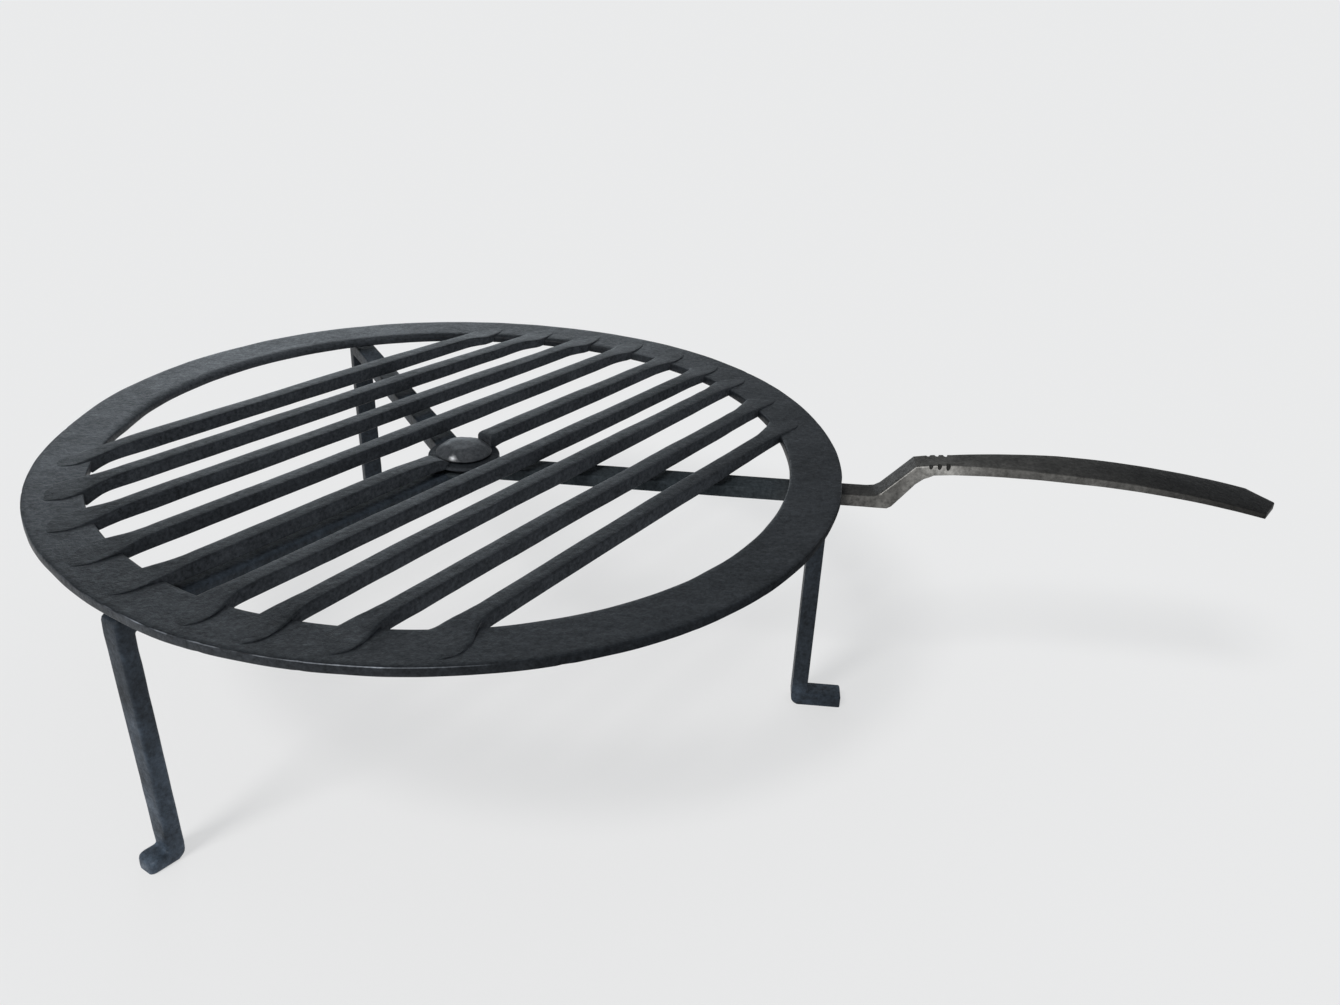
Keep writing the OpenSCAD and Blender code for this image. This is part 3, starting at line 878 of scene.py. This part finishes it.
def in_notch(point, normal):
    """Whether a corner lies on the wall of a filed notch."""
    below = (point.z - NOTCH_Z + abs(point.y) - ARM_HALF) / math.sqrt(2)
    near = any(math.hypot((point.x - x) / NOTCH_WIDE, below / NOTCH_DEEP) < 1.04 for x in NOTCHES)
    return near and (abs(normal.x) > 0.15 or abs(abs(normal.y) - normal.z) < 0.05)


# %% Wear of the handle and a painted highlight on the crank
# Distance from the rivet, and how far the top and the sides are rubbed there
TOP_WEAR = [
    (0, 0.02), (150, 0.025), (165, 0.05), (178, 0.085), (190, 0.125), (204, 0.11), (226, 0.085),
    (248, 0.055), (268, 0.027), (295, 0.005), (340, 0.0)]
SIDE_WEAR = [
    (0, 0.02), (130, 0.03), (152, 0.1), (165, 0.2), (178, 0.28), (190, 0.45), (198, 0.68), (205, 0.6),
    (216, 0.28), (230, 0.22), (265, 0.21), (300, 0.09), (340, 0.03)]
# Stretch of the crank with a painted highlight on its near upper edge; share of bare colour on notch
# walls
EDGE_HIGHLIGHT_FROM, EDGE_HIGHLIGHT_TO, NOTCH_BARE_SHARE = 176, 198, 0.05


def handle_wear_and_edge_highlight(point, normal):
    # Walls of the filed notches get only a small share of the bare colour, so they are darker than the
    # sides round them.
    if in_notch(point, normal):
        return NOTCH_BARE_SHARE
    side = abs(normal.y)
    rub = flow(TOP_WEAR, point.x) * (1 - side) + flow(SIDE_WEAR, point.x) * side
    # The crank's near upper edge is painted fully bare: a painted highlight on rubbed metal.
    on_crank = EDGE_HIGHLIGHT_FROM < point.x < EDGE_HIGHLIGHT_TO
    edge_highlight = on_crank and normal.y < -0.25 and normal.z > 0.2
    return (1.0 if edge_highlight else rub) * (1 + uneven(point, 5, 0.5))


# %% Forge the handle
HUB_R = 16
HUB_PROFILE = [
    (0, ARM_LOW), (15.2, ARM_LOW), (15.8, ARM_LOW + 0.6), (HUB_R, ARM_LOW + 1.4),
    (HUB_R, ARM_TOP - 1.4), (15.8, ARM_TOP - 0.6), (15.2, ARM_TOP), (0, ARM_TOP)]
HANDLE_CORNER, HANDLE_CUTS, HANDLE_CREASE = 0.45, 6, 30


def forge_handle():
    marks = ARM_MARKS + CRANK_MARKS + GRIP_MARKS + TIP_MARKS
    bm = draw_out([handle_section(x) for x in marks], ARM_W, ARM_T, HANDLE_CORNER, HANDLE_CUTS)
    crown_top(bm)
    hammer(bm, depth=0.14, pitch=8, mark=6.6)
    bm = join_cut(bm, [turned(HUB_PROFILE)], "UNION")
    bm = join_cut(bm, [file_cutter(x, side) for x in NOTCHES for side in (-1, 1)], "DIFFERENCE")
    wear(bm, handle_wear_and_edge_highlight)
    set_piece(bm, "handle_bar", "frame", ["handle"], handle_iron, HANDLE_CREASE)


forge_handle()

# %% [markdown]
# ## The legs
# Two legs run out from the hub, bend down and end in a foot turned outwards. The third stands under
# the handle. Each is one bar, so its path is a list of sections: along the arm, round the shoulder,
# down the leg and round the heel. Sections turned about the bar's middle would give round bends.
# Here they turn about a point just outside the inner corner, and each one reaches to the bend's
# outline, so the outer corner stays nearly square. The front leg leans a little to one side.

# %% Leg sections
LEG_T, LEG_W, FOOT_H, LEG_ARM_W, ARM_START = 7.0, 9.6, 6.0, 11.5, 14.6
HEEL_R, SHOULDER_R, FILLET = 3.5, 2.0, 0.8
CORNER_TURNS = (0, 12, 24, 33, 40, 47, 54, 62, 75, 90)
ARM_STEPS, LEG_STEPS = 19, 15


def spoke(angle):
    turn = math.radians(angle)
    out = Vector((math.cos(turn), math.sin(turn), 0))
    return out, Vector((-out.y, out.x, 0))


def leg_section(ways, reach, height, fall, width, depth):
    """Section at a reach and height in the leg's plane; fall is how far it points down, in degrees."""
    out, across = ways
    turn = math.radians(fall)
    along = out * math.cos(turn) - UP * math.sin(turn)
    return section(out * reach + UP * height, along, across, width, depth)


def corner_reach(degrees, wide, high, round_r):
    """Distance from a bend's turning point to its outline, a box with one rounded corner."""
    turn = math.radians(min(max(degrees, 0.01), 89.99))
    if wide * math.tan(turn) <= high - round_r:
        return wide / math.cos(turn)
    if high / math.tan(turn) <= wide - round_r:
        return high / math.sin(turn)
    cx, cz = wide - round_r, high - round_r
    aside = cx * math.sin(turn) - cz * math.cos(turn)
    return cx * math.cos(turn) + cz * math.sin(turn) + math.sqrt(round_r ** 2 - aside ** 2)


# %% Foot sections
# Share of the foot's length, and share of its width and depth there
SQUARE_TOE = [(0.3, 1, 1), (0.6, 1, 1), (0.95, 1, 1), (0.985, 0.97, 0.95), (1.0, 0.9, 0.86)]
ROUND_TOE = [
    (0.3, 1, 1), (0.55, 1.0, 1), (0.75, 0.98, 0.96), (0.88, 0.92, 0.88), (0.96, 0.8, 0.76),
    (1.0, 0.6, 0.6)]
HEEL_Z = FOOT_H + FILLET


def foot_sections(ways, face, length, toe):
    """From the leg's foot round the heel to the toe; face is the reach of the leg's outer face."""
    made = []
    for degrees in CORNER_TURNS:
        turn = math.radians(degrees)
        far = corner_reach(degrees, LEG_T + FILLET, HEEL_Z, HEEL_R)
        middle = (FILLET + far) / 2
        made.append(leg_section(ways, face + FILLET - middle * math.cos(turn),
                                HEEL_Z - middle * math.sin(turn), 90 - degrees, LEG_W, far - FILLET))
    for share, width, depth in toe:
        made.append(leg_section(ways, face + length * share, depth * FOOT_H / 2, 0,
                                LEG_W * width, FOOT_H * depth))
    return made


# %% Arm, shoulder and leg sections
SHOULDER_Z = ARM_TOP - LEG_T - FILLET


def arm_sections(ways, stop):
    """Along the arm from the hub, a little narrower on the way."""
    made = []
    for i in range(ARM_STEPS + 1):
        share = i / ARM_STEPS
        made.append(leg_section(ways, ARM_START + (stop - ARM_START) * share, ARM_TOP - LEG_T / 2, 0,
                                LEG_ARM_W + (LEG_W - LEG_ARM_W) * share, LEG_T))
    return made


def shoulder_sections(ways, turn_x):
    """Round the shoulder, about a point just outside its inner corner."""
    made = []
    for fall in CORNER_TURNS[1:]:
        turn = math.radians(fall)
        far = corner_reach(90 - fall, LEG_T + FILLET, LEG_T + FILLET, SHOULDER_R)
        middle = (FILLET + far) / 2
        made.append(leg_section(ways, turn_x + middle * math.sin(turn),
                                SHOULDER_Z + middle * math.cos(turn), fall, LEG_W, far - FILLET))
    return made


def shank_sections(ways, reach, lean, top, first):
    """Down the leg to just above the heel, set back by lean on the way."""
    return [leg_section(ways, reach - lean * i / LEG_STEPS, top + (HEEL_Z - top) * i / LEG_STEPS, 90,
                        LEG_W, LEG_T) for i in range(first, LEG_STEPS)]


# %% Bent and straight legs
def bent_leg(angle, reach, lean, sway, length, toe, corner):
    """Arm, bend, leg and foot; the leg's foot is set back by lean and off to one side by sway."""
    ways, turn_x = spoke(angle), reach - LEG_T / 2 - FILLET
    made = (arm_sections(ways, turn_x) + shoulder_sections(ways, turn_x)
            + shank_sections(ways, reach, lean, SHOULDER_Z, 1)
            + foot_sections(ways, reach + LEG_T / 2 - lean, length, toe))
    bm = draw_out(made, LEG_W, LEG_T, corner)
    for v in bm.verts:
        v.co += ways[1] * sway * max(0, 1 - v.co.z / SHOULDER_Z)
    return bm


def straight_leg(reach, length, corner):
    ways = spoke(0)
    made = (shank_sections(ways, reach, 0, ARM_LOW + 1, 0)
            + foot_sections(ways, reach + LEG_T / 2, length, SQUARE_TOE))
    return draw_out(made, LEG_W, LEG_T, corner)


# %% Draw the legs
# Height above the floor and share of rubbed metal
EVEN_RUB = [(0, 0.22), (7, 0.2), (20, 0.05), (110, 0.04)]
FRONT_RUB = [(0, 0.36), (8, 0.36), (20, 0.36), (45, 0.26), (80, 0.14), (110, 0.07)]
LEG_DENT_PITCH, SOLE = 9, 0.4


def stand(bm, depth, mark, rubbed, name, node):
    """Hammers a leg lightly, keeps its foot flat on the floor and sets it."""
    hammer(bm, depth, LEG_DENT_PITCH, mark)
    for v in bm.verts:
        if v.co.z <= SOLE:
            v.co.z = 0

    def leg_wear(point, normal):
        return flow(rubbed, point.z) * (1 + uneven(point, 9, 0.9) + uneven(point, 3, 0.9))

    wear(bm, leg_wear)
    set_piece(bm, name, "frame", [node], leg_iron)


back = bent_leg(angle=122, reach=163.5, lean=11, sway=0, length=12, toe=SQUARE_TOE, corner=0.8)
front = bent_leg(angle=-122, reach=161.5, lean=5.5, sway=-1.5, length=7.6, toe=ROUND_TOE, corner=1.4)
right = straight_leg(reach=152.5, length=15.5, corner=0.5)
stand(back, 0.2, 1.3, EVEN_RUB, "back_leg_bar", "back_leg")
stand(front, 0.3, 2.9, FRONT_RUB, "front_leg_bar", "front_leg")
stand(right, 0.1, 7.7, EVEN_RUB, "handle_leg_bar", "handle_leg")

# %% [markdown]
# ## Floor and light
# The broiler stands on a pale floor under a wide soft light from the front left, with a second soft
# lamp behind it on the left for the sheen on the bars, and a pale sky all round. Area lamps would
# do, but suns light near and far alike. About two thirds of the floor's colour is its own to the
# camera and to reflections, so its shadows stay pale; the lamps give the rest.

# %% The floor
FLOOR_TONE, FLOOR_SIZE, OWN_SHARE = (0.855, 0.855, 0.855, 1), 12, 0.66


def pale_floor():
    bm = bmesh.new()
    bmesh.ops.create_grid(bm, x_segments=1, y_segments=1, size=FLOOR_SIZE)
    floor = loose(bm, "floor")
    mat = bpy.data.materials.new("pale_floor")
    mat.use_nodes = True
    tree = mat.node_tree
    paint = tree.nodes["Principled BSDF"]
    paint.inputs["Base Color"].default_value = FLOOR_TONE
    paint.inputs["Roughness"].default_value = 0.9
    paint.inputs["Specular IOR Level"].default_value = 0.0
    glow = tree.nodes.new("ShaderNodeEmission")
    glow.inputs["Color"].default_value = FLOOR_TONE
    rays = tree.nodes.new("ShaderNodeLightPath")
    seen = sums(tree, "ADD", rays.outputs["Is Camera Ray"], rays.outputs["Is Glossy Ray"])
    mixed = tree.nodes.new("ShaderNodeMixShader")
    tree.links.new(sums(tree, "MULTIPLY", seen, OWN_SHARE), mixed.inputs[0])
    tree.links.new(paint.outputs[0], mixed.inputs[1])
    tree.links.new(glow.outputs[0], mixed.inputs[2])
    tree.links.new(mixed.outputs[0], tree.nodes["Material Output"].inputs["Surface"])
    floor.data.materials.append(mat)
    print("floor", 2 * FLOOR_SIZE, "m wide")


pale_floor()

# %% The sky
SKY_TINT, SKY_STRENGTH = (0.90, 0.95, 1.0, 1), 0.44

world = bpy.data.worlds.new("pale_sky")
bpy.context.scene.world = world
world.use_nodes = True
sky = world.node_tree.nodes["Background"]
sky.inputs["Color"].default_value = SKY_TINT
sky.inputs["Strength"].default_value = SKY_STRENGTH
print("sky strength", SKY_STRENGTH)


# %% The lamps
def soft_sun(name, place, spread, strength, tint):
    """A sun lamp that shines from place towards the middle of the floor; spread is in degrees."""
    light = bpy.data.lights.new(name, "SUN")
    light.energy = strength
    light.angle = math.radians(spread)
    light.color = tint
    lamp = bpy.data.objects.new(name, light)
    lamp.location = place
    lamp.rotation_mode = "QUATERNION"
    lamp.rotation_quaternion = (-Vector(place)).to_track_quat("-Z", "Y")
    bpy.context.collection.objects.link(lamp)
    print(name, strength)


soft_sun("day_light", (-0.83, -1.33, 1.81), spread=18, strength=1.9, tint=(1.0, 0.985, 0.97))
soft_sun("window_light", (-0.75, 2.1, 0.42), spread=32, strength=0.47, tint=(0.84, 0.93, 1.0))

# %% [markdown]
# ## The camera
# The picture was taken from a little above the front, close in, with the camera tipped a few
# degrees. A Track To constraint could aim the camera, but it would not tip it. A camera matrix
# takes its columns from three directions: right, up and back.

# %% The camera
AIM_TURN, AIM_DROP, TIP = math.radians(2.5), math.radians(26.73), math.radians(3.15)
STAND_POINT = (axis_x + 0.1091, -0.4670, 0.3313)
SENSOR, LENS, CLIP_START = 36, 32.83, 0.01

right_way = Vector((math.cos(AIM_TURN), math.sin(AIM_TURN), 0))
level_back = Vector((math.sin(AIM_TURN), -math.cos(AIM_TURN), 0))
back_way = level_back * math.cos(AIM_DROP) + UP * math.sin(AIM_DROP)
up_way = back_way.cross(right_way)
cam_x = right_way * math.cos(TIP) + up_way * math.sin(TIP)
cam_y = up_way * math.cos(TIP) - right_way * math.sin(TIP)
lens = bpy.data.cameras.new("camera")
lens.sensor_width = SENSOR
lens.lens = LENS
lens.clip_start = CLIP_START
camera = bpy.data.objects.new("camera", lens)
turned_view = Matrix((cam_x, cam_y, back_way)).transposed().to_4x4()
camera.matrix_world = Matrix.Translation(STAND_POINT) @ turned_view
bpy.context.collection.objects.link(camera)
bpy.context.scene.camera = camera
bpy.context.scene.view_settings.view_transform = "Standard"
print("camera", tuple(round(v, 4) for v in camera.matrix_world.translation))
